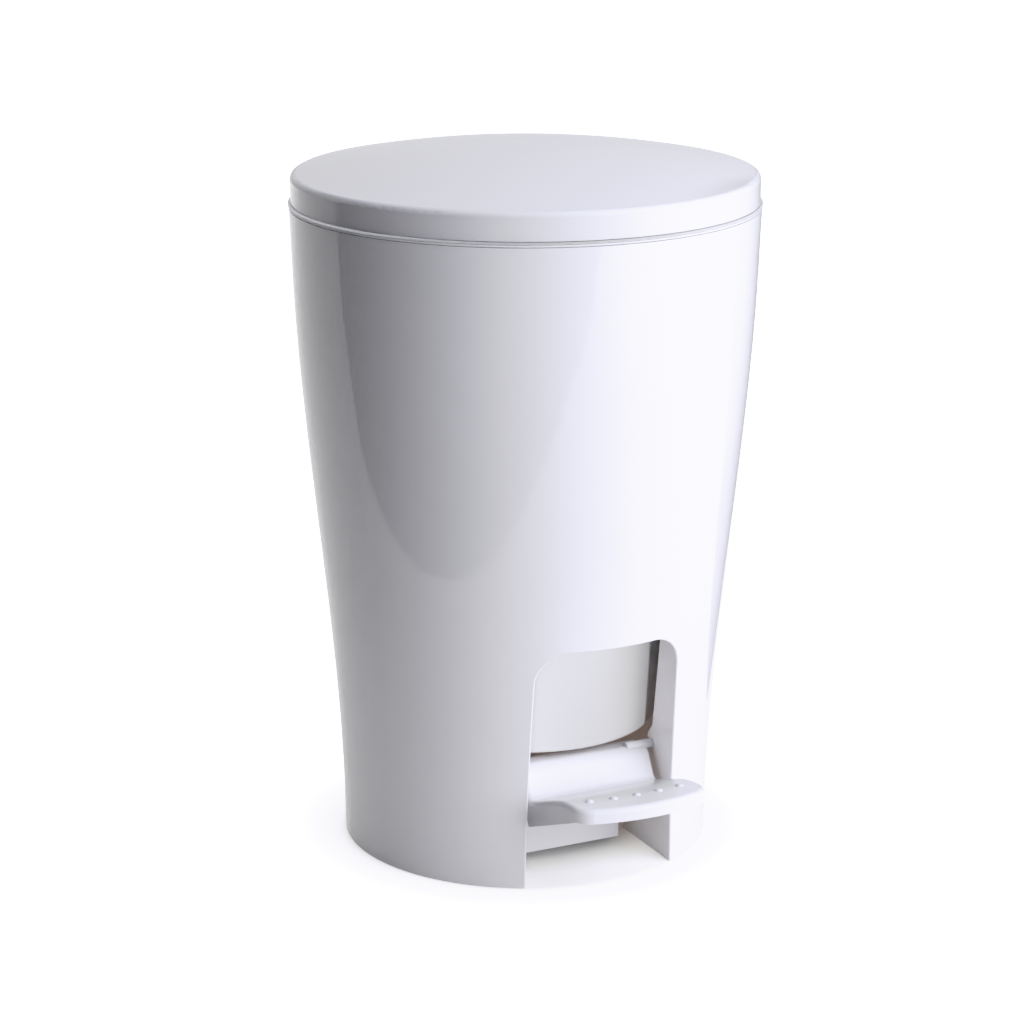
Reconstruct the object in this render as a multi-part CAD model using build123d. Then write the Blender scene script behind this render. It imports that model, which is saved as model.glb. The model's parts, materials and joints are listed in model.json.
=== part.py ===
from build123d import *
from math import atan2, cos, degrees, hypot, radians, sin
import os

# Pedal bin. Millimetres, +Z up, the pedal points to -Y. Every piece is drawn round the bin's
# own axis, and the whole is then moved so that the origin is on the floor, midway between
# the pedal's tip and the back of the hinge. Reach is the distance from the axis towards the
# pedal (reach = -y before the move).

# Outer body: a flared tube that stands on its own lower edge.
WALL = 2.0
BODY_TOP = 277.03
BODY_OUTLINE = [(79.6, 0.0), (82.75, 70.0), (90.55, 150.0), (97.85, 235.0), (99.6, BODY_TOP)]
BODY_TANGENTS = [(0.005, 1.0), (0.045, 1.0)]

# Pedal opening in the body, a doorway with a jamb wall on each side.
OPENING_HALF_WIDTH = 34.3
OPENING_DRAFT = 0.0128
OPENING_TOP = 105.5
OPENING_CORNER = 14.0
JAMB_THICKNESS = 1.9
JAMB_SIDE = [
    (95, 0), (95, 116), (66, 116), (62.6, 95), (59.1, 74), (56.2, 57),
    (52.6, 53), (51.4, 49), (51.4, 45), (40, 20), (28, 0),
]

# Pedal pivot.
PIVOT_REACH = 55.5
PIVOT_HEIGHT = 48.9
TRUNNION_RADIUS = 2.0
TRUNNION_HOLE_RADIUS = 2.08
TRUNNION_INNER = 20.8
TRUNNION_INNER_LEFT = 26.0
TRUNNION_OUTER = 36.6
BEARING_RADIUS = 4.6
BEARING_DEPTH = 2.2
BORE_REACH = 9.0
THROAT_WIDTH = 3.3

# Rim ring, bucket flange and lid are stacked on top of the body.
RIM_RADIUS = 99.8
RING_BOTTOM = 277.2
RING_TOP = 278.15
FLANGE_BOTTOM = 278.25
FLANGE_TOP = 279.2
RING_SKIRT_OUTER = 96.6
RING_SKIRT_INNER = 95.0
RING_SKIRT_BOTTOM = 262.0

# Lid.
LID_RADIUS = 98.8
LID_BOTTOM = 279.45
LID_SHOULDER = 291.3
LID_TOP = 301.3
LID_SHOULDER_RADIUS = 96.4
LID_THICKNESS = 2.0
LID_EDGE_DROP = 2.5
LID_EDGE_MIDDLE = (98.15, 290.45)
LID_INNER_CORNER = 1.5

# Lid hinge: a pin through a barrel on the lid and two lugs on the rim ring's carrier.
HINGE_Y = 105.0
HINGE_Z = 282.0
HINGE_PIN_RADIUS = 2.0
HINGE_PIN_HALF = 22.6
HINGE_HOLE_RADIUS = 2.06
BARREL_RADIUS = 4.0
BARREL_HALF = 13.4
LUG_INNER = 13.9
LUG_OUTER = 20.0
CARRIER_FRONT = 100.1
CARRIER_BOTTOM = 262.0
CARRIER_TOP = 277.4
CARRIER_EDGE = 1.2
ROOT_Y = 97.0
TONGUE_BOTTOM = 280.8
TONGUE_TOP = 286.0
CAP_RADIUS = 3.4
CAP_OUTER = 23.4

# Screws of the hinge carrier, which run forwards into the body's wall.
RING_SCREW_X = 15.5
RING_SCREW_Z = 268.0
RING_SCREW_TIP = 94.5
RING_SCREW_SUNK = 0.4
COUNTERBORE_RADIUS = 3.4

# Screws of the crank bracket, which run up into bosses under the lid.
CRANK_SCREW_X = 10.0
CRANK_SCREW_Y = 84.0
CRANK_BOSS_RADIUS = 3.6
CRANK_BOSS_TOP = 292.5
CRANK_PLATE_TOP = 285.6
CRANK_PLATE_BOTTOM = 283.2
CRANK_PLATE_HALF_WIDTH = 14.0
CRANK_PLATE_HALF_DEPTH = 6.5
CRANK_SCREW_LENGTH = 8.5

# Pan-head screws of both kinds.
SCREW_RADIUS = 1.3
SCREW_CLEARANCE_RADIUS = 1.7
SCREW_HEAD_RADIUS = 3.0
SCREW_HEAD_HEIGHT = 2.0
DRIVE_LENGTH = 3.4
DRIVE_WIDTH = 0.8
DRIVE_DEPTH = 0.9

# Crank that the lift rod pushes on.
CRANK_RADIUS = 21.7
CRANK_ANGLE = 27.1
CRANK_WEB_HALF = 2.0
CRANK_BOSS_HALF = 4.8
CRANK_RIM = 1.9
CRANK_WEB_SIDE = [(-79, 284.5), (-81.5, 271), (-86, 268.5), (-92.5, 272), (-90.3, 284.5)]
CRANK_ROOM_HALF = 6.0
SLOT_MIDDLE = 19.5
SLOT_SHIFT = 0.2
SLOT_HALF_LENGTH = 2.9
SLOT_RADIUS = 2.6

# Soft stops under the lid.
BUMPER_PLACES = [45, 135, 225, 315]
BUMPER_CIRCLE = 93.6
BUMPER_RADIUS = 2.2
BUMPER_TOP = 285.9
BUMPER_GAP = 0.25
BUMPER_SOCKET_WALL = 1.0
BUMPER_SOCKET_BOTTOM = 281.8
BUMPER_SOCKET_TOP = 290.2

# Lift rod: 3 mm steel wire with a hook at each end.
ROD_RADIUS = 1.5
ROD_SIDE = 9.2
ROD_HOOK_END = -7.5
ROD_BEND = 3.6
ROD_FOOT_Y = 66.0
ROD_FOOT_Z = 9.0
WASHER_RADIUS = 3.4
WASHER_THICKNESS = 1.4
WASHER_INSET = 0.4

# Bucket.
BUCKET_BOTTOM = 51.5
BUCKET_BASE_RADIUS = 56.9
BUCKET_SHELF_RADIUS = 72.0
BUCKET_WALL = 1.6
BUCKET_CORNER = 2.6
SHELF_HEIGHT = 266.0
COLLAR_RADIUS = 94.2
NICHE_HALF = 15.0
NICHE_FRONT = 75.2
FLANGE_GAP = 0.6

# Bail of the bucket.
BAIL_RADIUS = 84.0
BAIL_HEIGHT = 271.2
BAIL_WIRE = 1.5
BAIL_BEND = 4.0
GRIP_RADIUS = 3.4
GRIP_HALF_ANGLE = 17.0
EAR_INNER = 76.5
EAR_OUTER = 79.5
EAR_HALF_WIDTH = 5.0
EAR_TOP = 275.3

# Pedal: the tread and arm are one skin, with a lever behind it that runs back to the rod.
PEDAL_HALF_WIDTH = 30.5
PEDAL_SKIN = 2.4
PEDAL_EDGE = 2.3
TREAD_FRONT = 117.3
TREAD_BOW = 85.0
TREAD_CORNER = 9.0
TREAD_TOP = 48.0
TREAD_CREST = 97.5
CREST_RADIUS = 60.0
LIP_BOTTOM = 42.2
VALLEY_REACH = 66.0
VALLEY_HEIGHT = 36.3
VALLEY_RADIUS = 3.0
BACK_CORNER = (59.0, 49.5)
BACK_RADIUS = 6.0
BACK_END = (47.0, 48.4)
TREAD_PATH = [
    (TREAD_FRONT + 1, TREAD_TOP),
    (TREAD_CREST, TREAD_TOP),
    (VALLEY_REACH, VALLEY_HEIGHT),
    BACK_CORNER,
    BACK_END,
]
SKIRT_BACK = (66.5, 25.0)
SKIRT_FRONT = (108.5, 42.0)
STUD_PITCH = 10.5
STUD_REACH = 105.2
STUD_BOW = 130.0
STUD_RADIUS = 2.3
STUD_SUNK = 1.5

# Lever of the pedal, under the bucket.
LEVER_HALF_WIDTH = 24.0
LEVER_FRONT = 44.0
LEVER_BOTTOM = 3.3
LEVER_TOP = 13.0
LEVER_FLOOR = 2.0
TAIL_HALF_WIDTH = 5.0
TAIL_END = 70.5
TAIL_START = 61.0
TAPER_END = (7.0, 56.0)
HOLLOW_END = (5.0, 54.5)
SPINE_END = 59.5
RIB_PLACES = [-20, 2, 24, 42]
RIB_TAPER = 0.3
RIB_THICKNESS = 1.6
ROD_BOSS_RADIUS = 4.6

# Small rounding of edges that are seen.
DOORWAY_EDGE = 0.6
FINE_EDGE = 0.35
SEAM_EDGE = 0.12


def turned(*edges):
    """Solid of revolution about the bin's axis from a closed outline in (radius, height)."""
    return revolve(Plane.XZ * make_face(edges), Axis.Z)


def ring(inner, outer, bottom, top):
    """Plain ring round the bin's axis."""
    blank = Cylinder(outer, top - bottom) - Cylinder(inner, 2 * (top - bottom))
    return Pos(0, 0, (top + bottom) / 2) * blank


def across(outline, inner, outer):
    """Side outline in (reach, height), extruded along X from inner to outer."""
    points = [(-reach, height) for reach, height in outline]
    face = Plane.YZ * make_face(Polyline(*points, close=True))
    return Pos(inner, 0, 0) * extrude(face, outer - inner)


def rod_x(radius, inner, outer, y, z):
    """Round bar along X."""
    bar = Rot(0, 90, 0) * Cylinder(radius, abs(outer - inner))
    return Pos((inner + outer) / 2, y, z) * bar


def rod_y(radius, x, z, front, back):
    """Round bar along Y."""
    bar = Rot(90, 0, 0) * Cylinder(radius, back - front)
    return Pos(x, (front + back) / 2, z) * bar


def rod_z(radius, x, y, bottom, top):
    """Round bar along Z."""
    return Pos(x, y, (bottom + top) / 2) * Cylinder(radius, top - bottom)


def slab(x_span, y_span, z_span):
    """Rectangular block between two places along each axis."""
    spans = (x_span, y_span, z_span)
    middle = [(low + high) / 2 for low, high in spans]
    lengths = [high - low for low, high in spans]
    return Pos(*middle) * Box(*lengths)


def both_sides(solid):
    return solid + mirror(solid, Plane.YZ)


def at_rim(edge):
    """The outermost edges of the rim ring's flange."""
    return edge.bounding_box().max.X > RIM_RADIUS - 0.05


def on_door_edge(edge):
    """Edges of the doorway on the body's outer skin."""
    middle = edge @ 0.5
    in_front = abs(middle.X) < OPENING_HALF_WIDTH + 1 and middle.Y < 0
    in_height = 1 < middle.Z < OPENING_TOP + 1
    start = 0 if middle.Z < BODY_OUTLINE[1][1] else 1
    (low_radius, low), (high_radius, high) = BODY_OUTLINE[start:start + 2]
    skin = low_radius + (high_radius - low_radius) * (middle.Z - low) / (high - low)
    return in_front and in_height and hypot(middle.X, middle.Y) > skin - WALL / 2


def on_tread_edge(edge):
    """Edges between the tread's top and its vertical sides."""
    middle = edge @ 0.5
    on_side = abs(abs(middle.X) - PEDAL_HALF_WIDTH) < 0.1 and middle.Z > VALLEY_HEIGHT + 1
    along_side = on_side and -middle.Y > VALLEY_REACH + 4
    along_front = abs(middle.Z - TREAD_TOP) < 0.1 and -middle.Y > TREAD_FRONT - TREAD_CORNER - 4
    return along_side or along_front


def body_volume(inset):
    """The space inside the body's outer skin, shrunk by inset."""
    knots = [(radius - inset, height) for radius, height in BODY_OUTLINE]
    wall = Spline(*knots, tangents=BODY_TANGENTS)
    base, rim = knots[0], knots[-1]
    return turned(
        wall,
        Line(rim, (0, rim[1])),
        Line((0, rim[1]), (0, base[1])),
        Line((0, base[1]), base),
    )


def opening_cutter():
    """The doorway: slightly narrower at the top, with rounded upper corners."""
    top_half = OPENING_HALF_WIDTH - OPENING_DRAFT * OPENING_TOP
    drop = 5.0
    base_half = OPENING_HALF_WIDTH + OPENING_DRAFT * drop
    outline = Polyline(
        (-base_half, -drop), (base_half, -drop), (top_half, OPENING_TOP), (-top_half, OPENING_TOP),
        close=True,
    )
    face = make_face(outline)
    upper = face.vertices().group_by(Axis.Y)[-1]
    face = fillet(upper, OPENING_CORNER)
    return extrude(Plane.XZ * face, 120)


def jamb():
    """Right jamb wall with the snap bearing of the pedal's trunnion."""
    plate = across(JAMB_SIDE, 0, JAMB_THICKNESS)
    boss_start = JAMB_THICKNESS / 2
    boss_end = JAMB_THICKNESS + BEARING_DEPTH
    boss = rod_x(BEARING_RADIUS, boss_start, boss_end, -PIVOT_REACH, PIVOT_HEIGHT)
    lean = degrees(atan2(OPENING_DRAFT, 1))
    leant = Pos(OPENING_HALF_WIDTH, 0, 0) * Rot(0, -lean, 0) * (plate + boss)
    face = OPENING_HALF_WIDTH - OPENING_DRAFT * PIVOT_HEIGHT
    through = (face - BORE_REACH, face + BORE_REACH)
    bore = rod_x(TRUNNION_HOLE_RADIUS, *through, -PIVOT_REACH, PIVOT_HEIGHT)
    throat_height = (PIVOT_HEIGHT - THROAT_WIDTH / 2, PIVOT_HEIGHT + THROAT_WIDTH / 2)
    throat = slab(through, (-PIVOT_REACH, BORE_REACH - PIVOT_REACH), throat_height)
    return leant - bore - throat


def outer_body():
    shell = body_volume(0) - body_volume(WALL)
    shell = shell - opening_cutter()
    door_edges = shell.edges().filter_by(on_door_edge)
    shell = fillet(door_edges, DOORWAY_EDGE)
    jambs = both_sides(jamb()) & body_volume(WALL / 2)
    below_floor = slab((-RIM_RADIUS, RIM_RADIUS), (-RIM_RADIUS, RIM_RADIUS), (-RIM_RADIUS, 0))
    screw_hole = rod_y(SCREW_RADIUS, RING_SCREW_X, RING_SCREW_Z, RING_SCREW_TIP - 3, HINGE_Y)
    return shell + jambs - below_floor - both_sides(screw_hole)


def rim_ring():
    """Collar that is pressed on the body's edge and carries the lid hinge at the back."""
    flange = ring(RING_SKIRT_INNER, RIM_RADIUS, RING_BOTTOM, RING_TOP)
    flange = chamfer(flange.edges().filter_by(at_rim).sort_by(Axis.Z)[0], FINE_EDGE)
    flange = chamfer(flange.edges().filter_by(at_rim).sort_by(Axis.Z)[-1], SEAM_EDGE)
    skirt = ring(RING_SKIRT_INNER, RING_SKIRT_OUTER, RING_SKIRT_BOTTOM, RING_TOP)
    back = HINGE_Y + BARREL_RADIUS
    width = (-LUG_OUTER, LUG_OUTER)
    block = slab(width, (CARRIER_FRONT, back), (CARRIER_BOTTOM, CARRIER_TOP))
    block = fillet(block.edges().group_by(Axis.Y)[-1], CARRIER_EDGE)
    bridge = slab(width, (ROOT_Y, CARRIER_FRONT + 2), (RING_BOTTOM, RING_TOP))
    lug = slab((LUG_INNER, LUG_OUTER), (CARRIER_FRONT, back), (CARRIER_TOP - 2, HINGE_Z))
    lug += rod_x(BARREL_RADIUS, LUG_INNER, LUG_OUTER, HINGE_Y, HINGE_Z)
    pin_hole = rod_x(HINGE_PIN_RADIUS + 0.02, *width, HINGE_Y, HINGE_Z)
    screw_hole = rod_y(SCREW_CLEARANCE_RADIUS, RING_SCREW_X, RING_SCREW_Z, RING_SCREW_TIP - 2, back)
    head_front = back - RING_SCREW_SUNK - SCREW_HEAD_HEIGHT
    counterbore = rod_y(COUNTERBORE_RADIUS, RING_SCREW_X, RING_SCREW_Z, head_front - 0.1, back + 1)
    crank_room = slab(
        (-CRANK_ROOM_HALF, CRANK_ROOM_HALF), (RING_SKIRT_INNER - 2, ROOT_Y + 0.5),
        (RING_SKIRT_BOTTOM - 1, RING_TOP + 1))
    carrier = block + bridge + both_sides(lug)
    return flange + skirt + carrier - pin_hole - crank_room - both_sides(screw_hole + counterbore)


def screw(length):
    """Pan-head screw along Z: the head's flat top at zero, the tip below it."""
    head = rod_z(SCREW_HEAD_RADIUS, 0, 0, -SCREW_HEAD_HEIGHT, 0)
    head = fillet(head.edges().group_by(Axis.Z)[-1], 0.6)
    shank = rod_z(SCREW_RADIUS, 0, 0, -length, -SCREW_HEAD_HEIGHT / 2)
    shank = chamfer(shank.edges().group_by(Axis.Z)[0], 0.5)
    half = DRIVE_LENGTH / 2
    slot = slab((-half, half), (-DRIVE_WIDTH / 2, DRIVE_WIDTH / 2), (-DRIVE_DEPTH, 1))
    return head + shank - slot - Rot(0, 0, 90) * slot


def ring_screws():
    """Two screws that hold the hinge carrier to the body's back wall."""
    head_back = HINGE_Y + BARREL_RADIUS - RING_SCREW_SUNK
    placed = Pos(RING_SCREW_X, head_back, RING_SCREW_Z) * Rot(-90, 0, 0) * screw(head_back - RING_SCREW_TIP)
    return both_sides(placed)


def hinge_pin():
    pin = rod_x(HINGE_PIN_RADIUS, -HINGE_PIN_HALF, HINGE_PIN_HALF, HINGE_Y, HINGE_Z)
    ends = pin.edges().group_by(Axis.X)
    return chamfer(ends[0] + ends[-1], 0.3)


def hinge_pin_caps():
    """Push-on caps on the two ends of the hinge pin."""
    start = LUG_OUTER + 0.1
    cap = rod_x(CAP_RADIUS, start, CAP_OUTER, HINGE_Y, HINGE_Z)
    socket = rod_x(HINGE_PIN_RADIUS + 0.01, start, HINGE_PIN_HALF, HINGE_Y, HINGE_Z)
    cap = fillet(cap.edges().group_by(Axis.X)[-1], 0.8)
    return both_sides(cap - socket)


def dome_height(radius):
    crown = LID_TOP - LID_SHOULDER
    return LID_TOP - crown * (radius / LID_SHOULDER_RADIUS) ** 2


def dome_curve(drop, reach):
    """Parabolic crown of the lid from the axis out to the given radius."""
    slope = -2 * (LID_TOP - LID_SHOULDER) * reach / LID_SHOULDER_RADIUS ** 2
    start = (0, LID_TOP - drop)
    middle = (reach / 2, dome_height(reach / 2) - drop)
    end = (reach, dome_height(reach) - drop)
    return Spline(start, middle, end, tangents=[(1, 0), (1, slope)])


def lid_shell():
    corner_start = (LID_SHOULDER_RADIUS, LID_SHOULDER)
    corner_end = (LID_RADIUS, LID_SHOULDER - LID_EDGE_DROP)
    outer_corner = ThreePointArc(corner_start, LID_EDGE_MIDDLE, corner_end)
    inner_radius = LID_RADIUS - LID_THICKNESS
    inner_reach = inner_radius - LID_INNER_CORNER
    under = dome_curve(LID_THICKNESS, inner_reach)
    inner_top = (inner_reach, dome_height(inner_reach) - LID_THICKNESS)
    return turned(
        dome_curve(0, LID_SHOULDER_RADIUS),
        outer_corner,
        Line(corner_end, (LID_RADIUS, LID_BOTTOM)),
        Line((LID_RADIUS, LID_BOTTOM), (inner_radius, LID_BOTTOM)),
        Line((inner_radius, LID_BOTTOM), (inner_radius, inner_top[1] - LID_INNER_CORNER)),
        Line((inner_radius, inner_top[1] - LID_INNER_CORNER), inner_top),
        under,
        Line((0, LID_TOP - LID_THICKNESS), (0, LID_TOP)),
    )


def at_bumpers(solid):
    placed = [Rot(0, 0, angle) * Pos(BUMPER_CIRCLE, 0, 0) * solid for angle in BUMPER_PLACES]
    return Compound(placed)


def lid():
    """Domed shell with the hinge barrel, two screw bosses and four sockets for the stops."""
    barrel = rod_x(BARREL_RADIUS, -BARREL_HALF, BARREL_HALF, HINGE_Y, HINGE_Z)
    tongue = slab((-BARREL_HALF, BARREL_HALF), (ROOT_Y, HINGE_Y), (TONGUE_BOTTOM, TONGUE_TOP))
    boss = rod_z(CRANK_BOSS_RADIUS, CRANK_SCREW_X, CRANK_SCREW_Y, CRANK_PLATE_TOP, CRANK_BOSS_TOP)
    pilot = rod_z(SCREW_RADIUS, CRANK_SCREW_X, CRANK_SCREW_Y, CRANK_PLATE_TOP - 1, CRANK_PLATE_TOP + 5.4)
    socket_radius = BUMPER_RADIUS + BUMPER_SOCKET_WALL
    sockets = at_bumpers(rod_z(socket_radius, 0, 0, BUMPER_SOCKET_BOTTOM, BUMPER_SOCKET_TOP))
    socket_bores = at_bumpers(rod_z(BUMPER_RADIUS + 0.03, 0, 0, BUMPER_SOCKET_BOTTOM - 1, BUMPER_TOP + 0.1))
    body = lid_shell() + barrel + tongue + both_sides(boss)
    for socket in sockets.solids():
        body += socket
    pin_hole = rod_x(HINGE_HOLE_RADIUS, -LUG_OUTER, LUG_OUTER, HINGE_Y, HINGE_Z)
    body = body - pin_hole - both_sides(pilot)
    for bore in socket_bores.solids():
        body -= bore
    return body


def lid_bumpers():
    """Four soft stops on which the lid lands."""
    pad = rod_z(BUMPER_RADIUS, 0, 0, FLANGE_TOP + BUMPER_GAP, BUMPER_TOP)
    pad = fillet(pad.edges().group_by(Axis.Z)[0], 0.5)
    return at_bumpers(pad)


def crank_place(radius):
    """Point on the crank at a distance from the hinge, with the lid closed."""
    angle = radians(CRANK_ANGLE)
    return HINGE_Y - radius * cos(angle), HINGE_Z - radius * sin(angle)


def crank_slot(radius, half_width):
    """Slot-shaped bar along X, its length pointing at the hinge."""
    y, z = crank_place(SLOT_MIDDLE)
    shift_y = SLOT_SHIFT * sin(radians(CRANK_ANGLE))
    shift_z = -SLOT_SHIFT * cos(radians(CRANK_ANGLE))
    face = SlotCenterToCenter(2 * SLOT_HALF_LENGTH, 2 * radius)
    bar = extrude(Plane.YZ * Rot(0, 0, CRANK_ANGLE) * face, half_width, both=True)
    return Pos(0, y + shift_y, z + shift_z) * bar


def lid_crank():
    """Bracket screwed under the lid, with a slot for the hook of the lift rod."""
    plate_x = (-CRANK_PLATE_HALF_WIDTH, CRANK_PLATE_HALF_WIDTH)
    plate_y = (CRANK_SCREW_Y - CRANK_PLATE_HALF_DEPTH, CRANK_SCREW_Y + CRANK_PLATE_HALF_DEPTH)
    plate_z = (CRANK_PLATE_BOTTOM, CRANK_PLATE_TOP)
    plate = slab(plate_x, plate_y, plate_z)
    plate = fillet(plate.edges().filter_by(Axis.Z), 3)
    web = across(CRANK_WEB_SIDE, -CRANK_WEB_HALF, CRANK_WEB_HALF)
    screw_hole = rod_z(SCREW_CLEARANCE_RADIUS, CRANK_SCREW_X, CRANK_SCREW_Y, *plate_z)
    bracket = plate + web + crank_slot(SLOT_RADIUS + CRANK_RIM, CRANK_BOSS_HALF)
    return bracket - crank_slot(SLOT_RADIUS, 20) - both_sides(screw_hole)


def crank_screws():
    """Two screws that hold the crank bracket up against the lid's bosses."""
    head_bottom = CRANK_PLATE_BOTTOM - SCREW_HEAD_HEIGHT
    placed = Pos(CRANK_SCREW_X, CRANK_SCREW_Y, head_bottom) * Rot(180, 0, 0) * screw(CRANK_SCREW_LENGTH)
    return both_sides(placed)


def bucket_shell():
    """Round tapering bucket with a wide shelf, a collar and a flat flange at the top."""
    slope = (BUCKET_SHELF_RADIUS - BUCKET_BASE_RADIUS) / (SHELF_HEIGHT - BUCKET_BOTTOM)
    wall_foot = (BUCKET_BASE_RADIUS + BUCKET_CORNER * slope, BUCKET_BOTTOM + BUCKET_CORNER)
    floor_edge = (BUCKET_BASE_RADIUS - BUCKET_CORNER, BUCKET_BOTTOM)
    shelf_bottom = SHELF_HEIGHT - BUCKET_WALL
    floor_top = BUCKET_BOTTOM + BUCKET_WALL
    inner_foot = (wall_foot[0] - BUCKET_WALL, wall_foot[1])
    collar_inner = COLLAR_RADIUS - BUCKET_WALL
    corners = [
        wall_foot,
        (BUCKET_SHELF_RADIUS, shelf_bottom),
        (COLLAR_RADIUS, shelf_bottom),
        (COLLAR_RADIUS, FLANGE_BOTTOM),
        (RIM_RADIUS - SEAM_EDGE, FLANGE_BOTTOM),
        (RIM_RADIUS, FLANGE_BOTTOM + SEAM_EDGE),
        (RIM_RADIUS, FLANGE_TOP - FINE_EDGE),
        (RIM_RADIUS - FINE_EDGE, FLANGE_TOP),
        (collar_inner, FLANGE_TOP),
        (collar_inner, SHELF_HEIGHT),
        (BUCKET_SHELF_RADIUS - BUCKET_WALL, SHELF_HEIGHT),
        inner_foot,
        (inner_foot[0] - 1.2, floor_top),
        (0, floor_top),
        (0, BUCKET_BOTTOM),
        floor_edge,
    ]
    return turned(RadiusArc(floor_edge, wall_foot, -BUCKET_CORNER), Polyline(*corners))


def inner_bucket():
    """Bucket with a niche at the back for the crank and two ears for the bail."""
    shelf_bottom = SHELF_HEIGHT - BUCKET_WALL
    niche_side = NICHE_HALF + BUCKET_WALL
    walls = slab((-niche_side, niche_side), (NICHE_FRONT, COLLAR_RADIUS), (shelf_bottom, FLANGE_TOP))
    walls = walls & ring(BUCKET_BASE_RADIUS, COLLAR_RADIUS - 0.5, shelf_bottom, FLANGE_TOP)
    cut_height = (shelf_bottom - 2, FLANGE_TOP + 2)
    niche = slab((-NICHE_HALF, NICHE_HALF), (NICHE_FRONT + BUCKET_WALL, HINGE_Y), cut_height)
    carrier_side = LUG_OUTER + FLANGE_GAP
    carrier_gap = slab((-carrier_side, carrier_side), (RIM_RADIUS - FLANGE_GAP, HINGE_Y), cut_height)
    ear = slab((EAR_INNER, EAR_OUTER), (-EAR_HALF_WIDTH, EAR_HALF_WIDTH), (SHELF_HEIGHT - 0.5, EAR_TOP))
    ear = fillet(ear.edges().filter_by(Axis.X).group_by(Axis.Z)[-1], 4.5)
    bore = rod_x(BAIL_WIRE + 0.06, EAR_INNER - 3, EAR_OUTER + 3, 0, BAIL_HEIGHT)
    return bucket_shell() + walls + both_sides(ear) - niche - carrier_gap - both_sides(bore)


def bucket_bail():
    """Half circle round the front of the shelf, with both ends turned in through the ears."""
    leg_end = EAR_INNER - 2.5
    bow_end = BAIL_RADIUS - BAIL_BEND
    leg = Line((leg_end, 0), (bow_end, 0))
    turn = TangentArc((bow_end, 0), (BAIL_RADIUS, -BAIL_BEND), tangent=(1, 0))
    bow = TangentArc((BAIL_RADIUS, -BAIL_BEND), (-BAIL_RADIUS, -BAIL_BEND), tangent=(0, -1))
    turn_back = TangentArc((-BAIL_RADIUS, -BAIL_BEND), (-bow_end, 0), tangent=(0, 1))
    leg_back = Line((-bow_end, 0), (-leg_end, 0))
    path = Plane.XY.offset(BAIL_HEIGHT) * Wire([leg, turn, bow, turn_back, leg_back])
    section = Plane(origin=path @ 0, z_dir=path % 0) * Circle(BAIL_WIRE)
    return sweep(section, path)


def bail_grip():
    """Plastic tube on the middle of the bail."""
    arc = CenterArc((0, -BAIL_BEND), BAIL_RADIUS, -90 - GRIP_HALF_ANGLE, 2 * GRIP_HALF_ANGLE)
    path = Plane.XY.offset(BAIL_HEIGHT) * arc
    place = Plane(origin=path @ 0, z_dir=path % 0)
    return sweep(place * (Circle(GRIP_RADIUS) - Circle(BAIL_WIRE + 0.01)), path)


def inset_path(points, depth):
    """The open polyline moved to its left by depth, with mitred corners."""
    moved = []
    for index, (x, y) in enumerate(points):
        before = points[index - 1] if index else None
        after = points[index + 1] if index + 1 < len(points) else None
        normals = []
        for start, end in ((before, (x, y)), ((x, y), after)):
            if start and end:
                length = hypot(end[0] - start[0], end[1] - start[1])
                normals.append(((start[1] - end[1]) / length, (end[0] - start[0]) / length))
        if len(normals) == 1:
            nx, ny = normals[0]
            moved.append((x + nx * depth, y + ny * depth))
        else:
            (ax, ay), (bx, by) = normals
            scale = depth / (1 + ax * bx + ay * by)
            moved.append((x + (ax + bx) * scale, y + (ay + by) * scale))
    return moved


def tread_plan(inset):
    """Seen from above: parallel sides, a bowed front edge and rounded front corners."""
    half = PEDAL_HALF_WIDTH - inset
    front = TREAD_FRONT - inset
    corner_front = front - (TREAD_BOW - (TREAD_BOW ** 2 - half ** 2) ** 0.5)
    back = PIVOT_REACH - 8
    outline = [
        Line((-half, -back), (-half, -corner_front)),
        ThreePointArc((-half, -corner_front), (0, -front), (half, -corner_front)),
        Line((half, -corner_front), (half, -back)),
        Line((half, -back), (-half, -back)),
    ]
    face = make_face(outline)
    corners = face.vertices().group_by(Axis.Y)[0]
    return fillet(corners, TREAD_CORNER - inset)


def pedal_side():
    """Side view of the solid that the tread, arm and web are hollowed from."""
    outline = TREAD_PATH + [(BACK_END[0], BACK_END[1] - PEDAL_SKIN), (PIVOT_REACH, PIVOT_HEIGHT - 5)]
    outline += [SKIRT_BACK, SKIRT_FRONT, (TREAD_FRONT + 1, LIP_BOTTOM)]
    points = [(-reach, height) for reach, height in outline]
    side = make_face(Polyline(*points, close=True))
    crest = side.vertices().sort_by_distance((-TREAD_CREST, TREAD_TOP, 0))[0]
    side = fillet([crest], CREST_RADIUS)
    back = side.vertices().sort_by_distance((-BACK_CORNER[0], BACK_CORNER[1], 0))[0]
    side = fillet([back], BACK_RADIUS)
    valley = side.vertices().sort_by_distance((-VALLEY_REACH, VALLEY_HEIGHT, 0))[0]
    return fillet([valley], VALLEY_RADIUS)


def pedal_skin():
    """Tread, arm and web as one skin with a skirt round it, open below."""
    blank = extrude(Plane.YZ * pedal_side(), PEDAL_HALF_WIDTH + 1, both=True)
    blank = blank & extrude(tread_plan(0), 60)
    top_edge = blank.edges().filter_by(on_tread_edge)
    blank = fillet(top_edge, PEDAL_EDGE)
    under_path = inset_path(TREAD_PATH, PEDAL_SKIN)
    behind = PIVOT_REACH - 12
    cavity_side = under_path + [(behind, 46), (behind, 0), (TREAD_FRONT + 1, 0)]
    cavity = across(cavity_side, -PEDAL_HALF_WIDTH, PEDAL_HALF_WIDTH)
    return blank - (cavity & extrude(tread_plan(PEDAL_SKIN), 60))


def pedal_studs():
    """Five small domes on a shallow arc across the tread."""
    studs = []
    for place in range(-2, 3):
        x = place * STUD_PITCH
        reach = STUD_REACH - x ** 2 / (2 * STUD_BOW)
        studs.append(Pos(x, -reach, TREAD_TOP - STUD_SUNK) * Sphere(STUD_RADIUS))
    return studs


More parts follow.
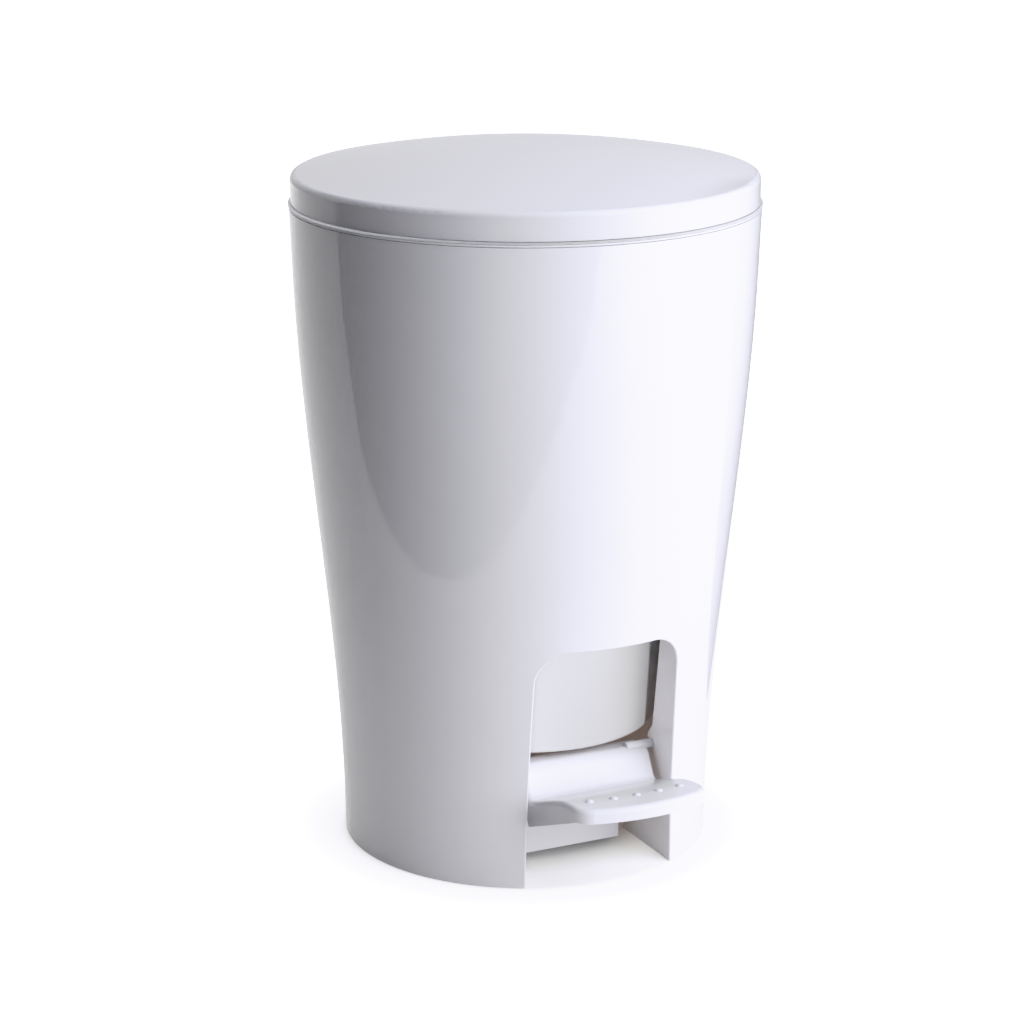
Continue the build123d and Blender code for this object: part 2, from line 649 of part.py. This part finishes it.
def lever_tray():
    """Tapering tray with ribs inside, open below, that ends in a narrow tail."""
    side = LEVER_HALF_WIDTH
    plan = [(side, -LEVER_FRONT), (side, 0), TAPER_END, (TAIL_HALF_WIDTH, TAIL_START)]
    plan += [(TAIL_HALF_WIDTH, TAIL_END)]
    plan += [(-x, y) for x, y in reversed(plan)]
    inner = side - PEDAL_SKIN
    hollow_plan = [(inner, PEDAL_SKIN - LEVER_FRONT), (inner, 0), HOLLOW_END]
    hollow_plan += [(-x, y) for x, y in reversed(hollow_plan)]
    height = LEVER_TOP - LEVER_BOTTOM
    tray = Pos(0, 0, LEVER_BOTTOM) * extrude(make_face(Polyline(*plan, close=True)), height)
    tray -= extrude(make_face(Polyline(*hollow_plan, close=True)), LEVER_TOP - LEVER_FLOOR)
    rib_height = (LEVER_BOTTOM + 1, LEVER_TOP - 1)
    tray += slab((-RIB_THICKNESS / 2, RIB_THICKNESS / 2), (1 - LEVER_FRONT, SPINE_END), rib_height)
    for y in RIB_PLACES:
        half = inner - RIB_TAPER * max(y, 0)
        tray += slab((-half, half), (y - RIB_THICKNESS / 2, y + RIB_THICKNESS / 2), rib_height)
    return tray


def pedal_lever():
    """Two cheeks and a front plate under the web, joined to the tray."""
    front_path = [(LEVER_FRONT, LEVER_BOTTOM), (LEVER_FRONT, 20), (64.5, 34.5)]
    neck = front_path + [(58, 47.5), (52, 47.5), (47.5, 30)]
    neck += [(LEVER_FRONT - 8, LEVER_TOP - 1), (LEVER_FRONT - 8, LEVER_BOTTOM)]
    cheeks = both_sides(across(neck, LEVER_HALF_WIDTH - PEDAL_SKIN, LEVER_HALF_WIDTH))
    front_side = front_path + inset_path(front_path, PEDAL_SKIN)[::-1]
    front_plate = across(front_side, -LEVER_HALF_WIDTH, LEVER_HALF_WIDTH)
    boss = rod_x(ROD_BOSS_RADIUS, -TAIL_HALF_WIDTH, TAIL_HALF_WIDTH, ROD_FOOT_Y, ROD_FOOT_Z)
    return cheeks + front_plate + lever_tray() + boss


def pedal():
    right = rod_x(TRUNNION_RADIUS, TRUNNION_INNER, TRUNNION_OUTER, -PIVOT_REACH, PIVOT_HEIGHT)
    right = fillet(right.edges().group_by(Axis.X)[0], 0.7)
    left = rod_x(TRUNNION_RADIUS, -TRUNNION_OUTER, -TRUNNION_INNER_LEFT, -PIVOT_REACH, PIVOT_HEIGHT)
    rod_hole = rod_x(ROD_RADIUS + 0.06, -ROD_SIDE, ROD_SIDE, ROD_FOOT_Y, ROD_FOOT_Z)
    whole = pedal_skin() + pedal_lever() + right + left
    for stud in pedal_studs():
        whole += stud
    return whole - rod_hole


def lift_rod():
    """Bent wire: two short hooks along X joined by a long straight leg."""
    top_y, top_z = crank_place(CRANK_RADIUS)
    corners = [
        (ROD_HOOK_END, ROD_FOOT_Y, ROD_FOOT_Z),
        (ROD_SIDE, ROD_FOOT_Y, ROD_FOOT_Z),
        (ROD_SIDE, top_y, top_z),
        (ROD_HOOK_END, top_y, top_z),
    ]
    path = FilletPolyline(*corners, radius=ROD_BEND)
    section = Plane(origin=path @ 0, z_dir=path % 0) * Circle(ROD_RADIUS)
    return sweep(section, path)


def rod_clip(y, z):
    """Push-on washer that keeps a hook in its hole."""
    start = ROD_HOOK_END + WASHER_INSET
    end = start + WASHER_THICKNESS
    return rod_x(WASHER_RADIUS, start, end, y, z) - rod_x(ROD_RADIUS + 0.01, start, end, y, z)


top_hook_y, top_hook_z = crank_place(CRANK_RADIUS)

parts = {
    "outer_body": outer_body(),
    "rim_ring": rim_ring(),
    "ring_screws": ring_screws(),
    "hinge_pin": hinge_pin(),
    "hinge_pin_caps": hinge_pin_caps(),
    "lid": lid(),
    "lid_bumpers": lid_bumpers(),
    "lid_crank": lid_crank(),
    "crank_screws": crank_screws(),
    "inner_bucket": inner_bucket(),
    "bucket_bail": bucket_bail(),
    "bail_grip": bail_grip(),
    "pedal": pedal(),
    "lift_rod": lift_rod(),
    "rod_clip_lower": rod_clip(ROD_FOOT_Y, ROD_FOOT_Z),
    "rod_clip_upper": rod_clip(top_hook_y, top_hook_z),
}

axis_y = (TREAD_FRONT - HINGE_Y - BARREL_RADIUS) / 2
to_origin = Pos(0, axis_y, 0)

os.makedirs("parts", exist_ok=True)
for name, shape in parts.items():
    export_step(to_origin * shape, f"parts/{name}.step")
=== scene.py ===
import bpy
import json
import math
from mathutils import Euler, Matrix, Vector


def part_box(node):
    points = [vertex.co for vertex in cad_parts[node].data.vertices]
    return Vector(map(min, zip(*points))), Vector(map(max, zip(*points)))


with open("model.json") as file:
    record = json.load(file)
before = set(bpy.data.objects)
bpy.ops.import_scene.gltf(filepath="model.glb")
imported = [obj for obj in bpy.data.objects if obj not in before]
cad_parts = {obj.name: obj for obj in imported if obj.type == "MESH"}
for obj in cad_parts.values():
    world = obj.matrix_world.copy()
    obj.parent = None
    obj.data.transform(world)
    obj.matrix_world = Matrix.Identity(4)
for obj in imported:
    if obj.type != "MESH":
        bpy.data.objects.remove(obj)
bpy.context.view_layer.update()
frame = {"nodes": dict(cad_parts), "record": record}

nodes = frame["nodes"]

# The bin's own axis lies a little behind the frame's origin.
RIM_RADIUS = 0.0998
AXIS_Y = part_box("inner_bucket")[0][1] + RIM_RADIUS

# Camera: a long lens, a little above the lid, to the left of the pedal. Metres and degrees.
CAMERA_PLACE = (-0.5507, -1.1249, 0.5005)
CAMERA_PITCH = 15.93
CAMERA_YAW = 25.745
CAMERA_LENS = 106.0
SENSOR_WIDTH = 36.0

# The studio is laid out as the camera sees it, in metres: to the left of the bin's axis, in
# front of it, towards the camera, and up. The glossy body mirrors the table. Two near edges
# that meet at a corner make the dark shape on its left, and a notch behind the bin darkens
# its right edge.
TABLE_PLAN = [
    (0.52, 0.02), (-0.60, 0.90), (-2.60, 0.90), (-2.60, -1.45), (-0.15, -0.12), (-0.60, -2.60),
    (3.40, -2.60), (3.40, -0.88),
]
TABLE_HEIGHT = -0.0002
BACKDROP_PLAN = [(3.35, -0.86), (3.35, -2.55), (-0.5, -2.55)]
BACKDROP_HEIGHT = 2.2

# Glow of the table, the screen and the room. The camera sees all three as white.
WHITE = 3.0
TABLE_TO_CAMERA = 2.2
TABLE_IN_GLOSS = 0.35
TABLE_GLOW_COLOUR = (1, 1, 0.93, 1)
TABLE_DARK = (0.72, 0.705, 0.68)
TABLE_LIGHT = (0.74, 0.725, 0.70)
TABLE_ROUGHNESS = 0.22
TABLE_IOR = 1.3
BACKDROP_GLOW = 0.8
ROOM_COLOUR = (0.05, 0.05, 0.055)

# Share of the table's glow by distance from the bin's axis, in metres: a contact shadow painted
# into that glow.
CONTACT_SHADOW = [
    (0.043, 0.02), (0.064, 0.20), (0.0785, 0.21), (0.0805, 0.32), (0.090, 0.42), (0.102, 1.0),
]

# Tones: scene light against picture light, straight in the darks and bent down from the
# middle upwards, as a camera does. The blue channel is lifted in the lights.
TONE_WHITE = 2.4
TONES = [
    (0.0, 0.0), (0.45, 0.448), (0.6, 0.575), (0.82, 0.716), (1.12, 0.877), (1.3, 0.94),
    (1.8, 0.97), (2.4, 1.0),
]
BLUE_LIFT = [
    (0.0, 0.0), (0.7, 0.715), (0.88, 0.95), (1.09, 1.25), (1.3, 1.75), (1.55, 2.4), (2.4, 2.4),
]

# Lamps: places as in the studio, power in watts.
KEY_COLOUR = (0.965, 0.98, 1.035)
KEY_PLACE = (-1.10, 0.68, 0.74)
KEY_SIZE = (1.6, 1.3)
KEY_POWER = 46
TOP_COLOUR = (0.965, 0.98, 1.045)
TOP_PLACE = (0.65, -0.65, 3.1)
TOP_SIZE = (2.2, 2.2)
TOP_POWER = 42
BACK_COLOUR = (1.0, 1.0, 1.0)
BACK_PLACE = (0.35, -1.8, 0.45)
BACK_SIZE = (1.6, 0.7)
BACK_POWER = 11
SOFTBOX_AIM = 0.15

# Spotlights of the bucket: its flange at the rim, and its wall in the doorway.
SPOT_RADIUS = 0.05
SPOT_BLEND = 0.25
RIM_SPOTS = {"right": (KEY_PLACE, 95), "left": ((1.00, 0.80, 0.60), 26)}
RIM_AIM, RIM_REACH = 0.30, 0.115
DOOR_SPOTS = {"left": ((0.10, 1.5, 0.25), 12), "right": ((-0.34, 1.45, 0.25), 64)}
DOOR_AIM, DOOR_REACH = 0.07, 0.10
DOOR_COLOUR = (1.0, 1.0, 1.02)

# Warm light under the bucket.
GLOW_COLOUR = (1.0, 0.68, 0.50)
GLOW_POWER = 0.018
GLOW_RADIUS = 0.02
GLOW_DROP = 0.015

# Light across the doorway, for each lamp: reach from the axis, height, size and power.
JAMB_COLOUR = (1.0, 0.965, 0.95)
JAMB_INSET = 0.008
JAMB_FILLS = {
    "high": (0.066, 0.065, (0.08, 0.03), 0.019),
    "low": (0.084, 0.020, (0.03, 0.02), 0.006),
}


def studio_place(left, front, height=0.0):
    """A place in the studio as a point in the bin's frame."""
    yaw = math.radians(CAMERA_YAW)
    x = -left * math.cos(yaw) - front * math.sin(yaw)
    y = left * math.sin(yaw) - front * math.cos(yaw)
    return Vector((x, y + AXIS_Y, height))


# ---------------------------------------------------------------- materials

# The part of a noise's range that holds most of its values.
NOISE_LOW, NOISE_HIGH = 0.3, 0.7

# How far the roughness of a plastic or a steel strays from its middle value, as factors.
ROUGHNESS_LOW, ROUGHNESS_HIGH = 0.85, 1.2

PLASTIC_IOR = 1.5
PLASTIC_DARK, PLASTIC_LIGHT = 0.985, 1.01
STEEL_DARK = 0.86
STEEL_STRETCH = (60, 1800, 1800)
STEEL_LINE_DEPTH = 0.000012
RUBBER_DARK = 0.9
RUBBER_ROUGHNESS = (0.6, 0.8)
RUBBER_GRAIN_DEPTH = 0.00003

GLOSS_WHITE = (0.70, 0.695, 0.715)
LID_WHITE = (0.675, 0.67, 0.69)
SATIN_WHITE = (0.67, 0.67, 0.668)
RUBBER_WHITE = (0.62, 0.62, 0.62)
WIRE_ZINC = (0.74, 0.745, 0.76)
PIN_STEEL = (0.66, 0.66, 0.67)
SCREW_ZINC = (0.70, 0.71, 0.73)


def new_material(name):
    """Empty node material with a Principled shader that is joined to the output."""
    material = bpy.data.materials.new(name)
    material.use_nodes = True
    tree = material.node_tree
    tree.nodes.clear()
    output = tree.nodes.new("ShaderNodeOutputMaterial")
    shader = tree.nodes.new("ShaderNodeBsdfPrincipled")
    tree.links.new(shader.outputs["BSDF"], output.inputs["Surface"])
    return material, tree, shader


def noise(tree, coordinates, scale, detail, roughness=0.5):
    """Noise over the piece's own coordinates; scale is in waves per metre."""
    node = tree.nodes.new("ShaderNodeTexNoise")
    node.inputs["Scale"].default_value = scale
    node.inputs["Detail"].default_value = detail
    node.inputs["Roughness"].default_value = roughness
    tree.links.new(coordinates, node.inputs["Vector"])
    return node.outputs["Fac"]


def mapped(tree, value, low, high):
    """A noise value spread over low to high."""
    node = tree.nodes.new("ShaderNodeMapRange")
    node.inputs["From Min"].default_value = NOISE_LOW
    node.inputs["From Max"].default_value = NOISE_HIGH
    node.inputs["To Min"].default_value = low
    node.inputs["To Max"].default_value = high
    tree.links.new(value, node.inputs["Value"])
    return node.outputs["Result"]


def two_tones(tree, value, dark, light):
    """A noise value spread over two colours."""
    ramp = tree.nodes.new("ShaderNodeValToRGB")
    ramp.color_ramp.elements[0].position = NOISE_LOW
    ramp.color_ramp.elements[1].position = NOISE_HIGH
    ramp.color_ramp.elements[0].color = (*dark, 1)
    ramp.color_ramp.elements[1].color = (*light, 1)
    tree.links.new(value, ramp.inputs["Fac"])
    return ramp.outputs["Color"]


def bumped(tree, shader, heights):
    """Small relief from (value, depth in metres) pairs, one bump node each."""
    normal = None
    for value, depth in heights:
        bump = tree.nodes.new("ShaderNodeBump")
        bump.inputs["Strength"].default_value = 1.0
        bump.inputs["Distance"].default_value = depth
        tree.links.new(value, bump.inputs["Height"])
        if normal:
            tree.links.new(normal, bump.inputs["Normal"])
        normal = bump.outputs["Normal"]
    tree.links.new(normal, shader.inputs["Normal"])


def rough(tree, value, roughness):
    """A noise value spread round a roughness."""
    return mapped(tree, value, roughness * ROUGHNESS_LOW, roughness * ROUGHNESS_HIGH)


def moulded_plastic(name, colour, roughness, grain_depth, ripple_depth):
    """Moulded plastic: faint flow marks in the colour, fine grain and slow ripples in the skin."""
    material, tree, shader = new_material(name)
    place = tree.nodes.new("ShaderNodeTexCoord").outputs["Object"]
    flow = noise(tree, place, 9, 3)
    grain = noise(tree, place, 2600, 2)
    ripple = noise(tree, place, 26, 1)
    smear = noise(tree, place, 60, 4, 0.6)
    dark = [channel * PLASTIC_DARK for channel in colour]
    light = [channel * PLASTIC_LIGHT for channel in colour]
    tree.links.new(two_tones(tree, flow, dark, light), shader.inputs["Base Color"])
    tree.links.new(rough(tree, smear, roughness), shader.inputs["Roughness"])
    shader.inputs["IOR"].default_value = PLASTIC_IOR
    bumped(tree, shader, [(ripple, ripple_depth), (grain, grain_depth)])
    return material


def drawn_steel(name, colour, roughness):
    """Drawn or turned steel: fine lines along X and slight dulling."""
    material, tree, shader = new_material(name)
    place = tree.nodes.new("ShaderNodeTexCoord").outputs["Object"]
    stretch = tree.nodes.new("ShaderNodeMapping")
    stretch.inputs["Scale"].default_value = STEEL_STRETCH
    tree.links.new(place, stretch.inputs["Vector"])
    lines = noise(tree, stretch.outputs["Vector"], 1, 3, 0.7)
    cloud = noise(tree, place, 140, 4)
    dark = [channel * STEEL_DARK for channel in colour]
    tree.links.new(two_tones(tree, cloud, dark, colour), shader.inputs["Base Color"])
    tree.links.new(rough(tree, lines, roughness), shader.inputs["Roughness"])
    shader.inputs["Metallic"].default_value = 1.0
    bumped(tree, shader, [(lines, STEEL_LINE_DEPTH)])
    return material


def soft_rubber(name, colour):
    """Dull rubber with a fine grain."""
    material, tree, shader = new_material(name)
    place = tree.nodes.new("ShaderNodeTexCoord").outputs["Object"]
    grain = noise(tree, place, 1900, 3, 0.6)
    dark = [channel * RUBBER_DARK for channel in colour]
    tree.links.new(two_tones(tree, grain, dark, colour), shader.inputs["Base Color"])
    tree.links.new(mapped(tree, grain, *RUBBER_ROUGHNESS), shader.inputs["Roughness"])
    bumped(tree, shader, [(grain, RUBBER_GRAIN_DEPTH)])
    return material


# Plastics: colour, roughness, depth of the grain and of the ripples in metres. Steels: colour
# and roughness.
MATERIALS = {
    "body_plastic": moulded_plastic("body_plastic", GLOSS_WHITE, 0.05, 0.000002, 0.00006),
    "rim_plastic": moulded_plastic("rim_plastic", GLOSS_WHITE, 0.12, 0.000002, 0.00002),
    "lid_plastic": moulded_plastic("lid_plastic", LID_WHITE, 0.11, 0.000003, 0.00004),
    "pedal_plastic": moulded_plastic("pedal_plastic", GLOSS_WHITE, 0.22, 0.000006, 0.00002),
    "bucket_plastic": moulded_plastic("bucket_plastic", SATIN_WHITE, 0.42, 0.000012, 0.00003),
    "crank_plastic": moulded_plastic("crank_plastic", SATIN_WHITE, 0.38, 0.000010, 0.00001),
    "cap_plastic": moulded_plastic("cap_plastic", GLOSS_WHITE, 0.22, 0.000006, 0.00001),
    "clip_plastic": moulded_plastic("clip_plastic", SATIN_WHITE, 0.4, 0.000010, 0.00001),
    "grip_plastic": moulded_plastic("grip_plastic", SATIN_WHITE, 0.36, 0.000010, 0.00001),
    "bumper_rubber": soft_rubber("bumper_rubber", RUBBER_WHITE),
    "wire_steel": drawn_steel("wire_steel", WIRE_ZINC, 0.22),
    "pin_steel": drawn_steel("pin_steel", PIN_STEEL, 0.34),
    "screw_steel": drawn_steel("screw_steel", SCREW_ZINC, 0.34),
}


def dress_nodes():
    """Every CAD node takes the material of its slot."""
    for part in frame["record"]["subparts"]:
        mesh = nodes[part["node"]].data
        material = MATERIALS[part["material_slot"]]
        if not mesh.materials:
            mesh.materials.append(material)
        for index in range(len(mesh.materials)):
            mesh.materials[index] = material


dress_nodes()


# ---------------------------------------------------------------- studio

def stage_mesh(name, vertices, faces, material):
    """A mesh of the studio, which isn't part of the object."""
    mesh = bpy.data.meshes.new(name)
    mesh.from_pydata(vertices, [], faces)
    mesh.materials.append(material)
    piece = bpy.data.objects.new(name, mesh)
    bpy.context.scene.collection.objects.link(piece)


def extra_for(tree, ray, extra):
    """A number that is extra for the rays of one kind, and nothing for the rest."""
    light_path = tree.nodes.new("ShaderNodeLightPath")
    amount = tree.nodes.new("ShaderNodeMath")
    amount.operation = "MULTIPLY"
    amount.inputs[1].default_value = extra
    tree.links.new(light_path.outputs[ray], amount.inputs[0])
    return amount.outputs["Value"]


def combined(tree, operation, first, second):
    """Sum or product of two numbers or node outputs."""
    node = tree.nodes.new("ShaderNodeMath")
    node.operation = operation
    for socket, value in zip(node.inputs, (first, second)):
        if isinstance(value, float):
            socket.default_value = value
        else:
            tree.links.new(value, socket)
    return node.outputs["Value"]


def painted_shadow_share(tree, place):
    """Painted contact shadow by distance from the axis: zero under the bin, rising to one on the
    open table.
    """
    offset = tree.nodes.new("ShaderNodeVectorMath")
    offset.operation = "DISTANCE"
    offset.inputs[1].default_value = (0, AXIS_Y, 0)
    tree.links.new(place, offset.inputs[0])
    rise = tree.nodes.new("ShaderNodeValToRGB")
    ramp = rise.color_ramp
    while len(ramp.elements) < len(CONTACT_SHADOW):
        ramp.elements.new(0.5)
    for element, (distance, glow) in zip(ramp.elements, CONTACT_SHADOW):
        element.position = distance
        element.color = (glow, glow, glow, 1)
    tree.links.new(offset.outputs["Value"], rise.inputs["Fac"])
    return rise.outputs["Color"]


def add_table():
    """White glossy table top, whose glow to the camera holds a painted contact shadow round the
    bin.
    """
    material, tree, shader = new_material("table_white")
    place = tree.nodes.new("ShaderNodeTexCoord").outputs["Object"]
    cloud = noise(tree, place, 5, 3)
    tree.links.new(two_tones(tree, cloud, TABLE_DARK, TABLE_LIGHT), shader.inputs["Base Color"])
    shader.inputs["Roughness"].default_value = TABLE_ROUGHNESS
    shader.inputs["IOR"].default_value = TABLE_IOR
    shader.inputs["Emission Color"].default_value = TABLE_GLOW_COLOUR
    # The glow to the camera dims towards the bin: a painted contact shadow.
    clear = painted_shadow_share(tree, place)
    to_camera = extra_for(tree, "Is Camera Ray", TABLE_TO_CAMERA)
    to_camera = combined(tree, "MULTIPLY", to_camera, clear)
    in_gloss = extra_for(tree, "Is Glossy Ray", TABLE_IN_GLOSS)
    tree.links.new(combined(tree, "ADD", to_camera, in_gloss), shader.inputs["Emission Strength"])
    corners = [studio_place(left, front, TABLE_HEIGHT) for left, front in TABLE_PLAN]
    stage_mesh("table", corners, [tuple(range(len(corners)))], material)


def add_backdrop():
    """White screen that stands on the table behind the bin."""
    material = bpy.data.materials.new("backdrop_white")
    material.use_nodes = True
    tree = material.node_tree
    tree.nodes.clear()
    output = tree.nodes.new("ShaderNodeOutputMaterial")
    emission = tree.nodes.new("ShaderNodeEmission")
    emission.inputs["Color"].default_value = (1, 1, 1, 1)
    to_camera = extra_for(tree, "Is Camera Ray", WHITE)
    tree.links.new(combined(tree, "ADD", BACKDROP_GLOW, to_camera), emission.inputs["Strength"])
    tree.links.new(emission.outputs["Emission"], output.inputs["Surface"])
    count = len(BACKDROP_PLAN)
    low = [studio_place(left, front, 0.0) for left, front in BACKDROP_PLAN]
    high = [studio_place(left, front, BACKDROP_HEIGHT) for left, front in BACKDROP_PLAN]
    faces = [(i, i + 1, count + i + 1, count + i) for i in range(count - 1)]
    stage_mesh("backdrop", low + high, faces, material)


def light_only(lamp, name, state):
    """Limits a lamp to the named node (INCLUDE), or keeps it off that node (EXCLUDE)."""
    lit = bpy.data.collections.new(lamp.name + "_lit")
    lit.objects.link(nodes[name])
    for member in lit.collection_objects:
        member.light_linking.link_state = state
    lamp.light_linking.receiver_collection = lit


def area_light(name, size):
    """Rectangular light of a size, width by height."""
    light = bpy.data.lights.new(name, "AREA")
    light.shape = "RECTANGLE"
    light.size, light.size_y = size
    return light


def add_lamp(light, power, colour, location, towards):
    """Hangs a light in the studio, left out of the reflections."""
    light.energy = power
    light.color = colour
    lamp = bpy.data.objects.new(light.name, light)
    lamp.location = location
    lamp.rotation_euler = towards.to_track_quat("-Z", "Y").to_euler()
    lamp.visible_glossy = False
    bpy.context.scene.collection.objects.link(lamp)
    return lamp


def add_softbox(name, place, size, power, colour):
    """Rectangular light aimed at the bin, left out of the picture."""
    location = studio_place(*place)
    towards = Vector((0, AXIS_Y, SOFTBOX_AIM)) - location
    lamp = add_lamp(area_light(name, size), power, colour, location, towards)
    lamp.visible_camera = False
    return lamp


def add_spot(name, place, aim_height, reach, power, colour):
    """Spotlight on the bucket, aimed at a height, that lights a circle of the given radius."""
    location = studio_place(*place)
    towards = Vector((0, AXIS_Y, aim_height)) - location
    light = bpy.data.lights.new(name, "SPOT")
    light.shadow_soft_size = SPOT_RADIUS
    light.spot_blend = SPOT_BLEND
    light.spot_size = 2 * math.atan(reach / towards.length)
    lamp = add_lamp(light, power, colour, location, towards)
    light_only(lamp, "inner_bucket", "INCLUDE")


def add_inner_glow():
    """The warm light that the white wall lets through into the space under the bucket."""
    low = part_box("inner_bucket")[0]
    light = bpy.data.lights.new("inner_glow", "POINT")
    light.shadow_soft_size = GLOW_RADIUS
    location = Vector((0, AXIS_Y, low[2] - GLOW_DROP))
    lamp = add_lamp(light, GLOW_POWER, GLOW_COLOUR, location, Vector((0, 0, -1)))
    lamp.visible_camera = False


def add_jamb_fill(name, reach, height, size, power):
    """A little light across the doorway, from the left jamb to the right one."""
    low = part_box("pedal")[0]
    location = Vector((low[0] + JAMB_INSET, AXIS_Y - reach, height))
    lamp = add_lamp(area_light(name, size), power, JAMB_COLOUR, location, Vector((1, 0, 0)))
    lamp.visible_camera = False
    light_only(lamp, "outer_body", "INCLUDE")


def add_world():
    """The dim room round the table. The camera sees it as white."""
    world = bpy.data.worlds.new("studio")
    world.use_nodes = True
    tree = world.node_tree
    background = tree.nodes["Background"]
    light_path = tree.nodes.new("ShaderNodeLightPath")
    tint = tree.nodes.new("ShaderNodeMix")
    tint.data_type = "RGBA"
    tint.inputs["A"].default_value = (*ROOM_COLOUR, 1)
    tint.inputs["B"].default_value = (WHITE, WHITE, WHITE, 1)
    tree.links.new(light_path.outputs["Is Camera Ray"], tint.inputs["Factor"])
    tree.links.new(tint.outputs["Result"], background.inputs["Color"])
    bpy.context.scene.world = world


def set_curve(curve, points, handle):
    """Lays the points on a curve that runs from 0 to 1."""
    while len(curve.points) < len(points):
        curve.points.new(0.5, 0.5)
    for point, location in zip(curve.points, points):
        point.location = location
        point.handle_type = handle


def set_tones():
    """The tone curve of the picture, and the lift of its blue channel."""
    settings = bpy.context.scene.view_settings
    settings.view_transform = "Standard"
    settings.use_curve_mapping = True
    mapping = settings.curve_mapping
    mapping.white_level = (TONE_WHITE, TONE_WHITE, TONE_WHITE)
    set_curve(mapping.curves[3], [(light / TONE_WHITE, tone) for light, tone in TONES], "AUTO")
    lift = [(light / TONE_WHITE, lifted / TONE_WHITE) for light, lifted in BLUE_LIFT]
    set_curve(mapping.curves[2], lift, "VECTOR")
    mapping.update()


def add_camera():
    """The photo's camera."""
    data = bpy.data.cameras.new("camera")
    data.lens = CAMERA_LENS
    data.sensor_width = SENSOR_WIDTH
    camera = bpy.data.objects.new("camera", data)
    camera.location = CAMERA_PLACE
    camera.rotation_euler = Euler((math.radians(90 - CAMERA_PITCH), 0, math.radians(-CAMERA_YAW)))
    bpy.context.scene.collection.objects.link(camera)
    bpy.context.scene.camera = camera


add_table()
add_backdrop()
key = add_softbox("key_softbox", KEY_PLACE, KEY_SIZE, KEY_POWER, KEY_COLOUR)
light_only(key, "inner_bucket", "EXCLUDE")
for side, (place, power) in RIM_SPOTS.items():
    add_spot("rim_light_" + side, place, RIM_AIM, RIM_REACH, power, KEY_COLOUR)
for side, (place, power) in DOOR_SPOTS.items():
    add_spot("door_fill_" + side, place, DOOR_AIM, DOOR_REACH, power, DOOR_COLOUR)
add_softbox("top_softbox", TOP_PLACE, TOP_SIZE, TOP_POWER, TOP_COLOUR)
add_softbox("back_softbox", BACK_PLACE, BACK_SIZE, BACK_POWER, BACK_COLOUR)
add_inner_glow()
for level, (reach, height, size, power) in JAMB_FILLS.items():
    add_jamb_fill("jamb_fill_" + level, reach, height, size, power)
add_world()
add_camera()
set_tones()
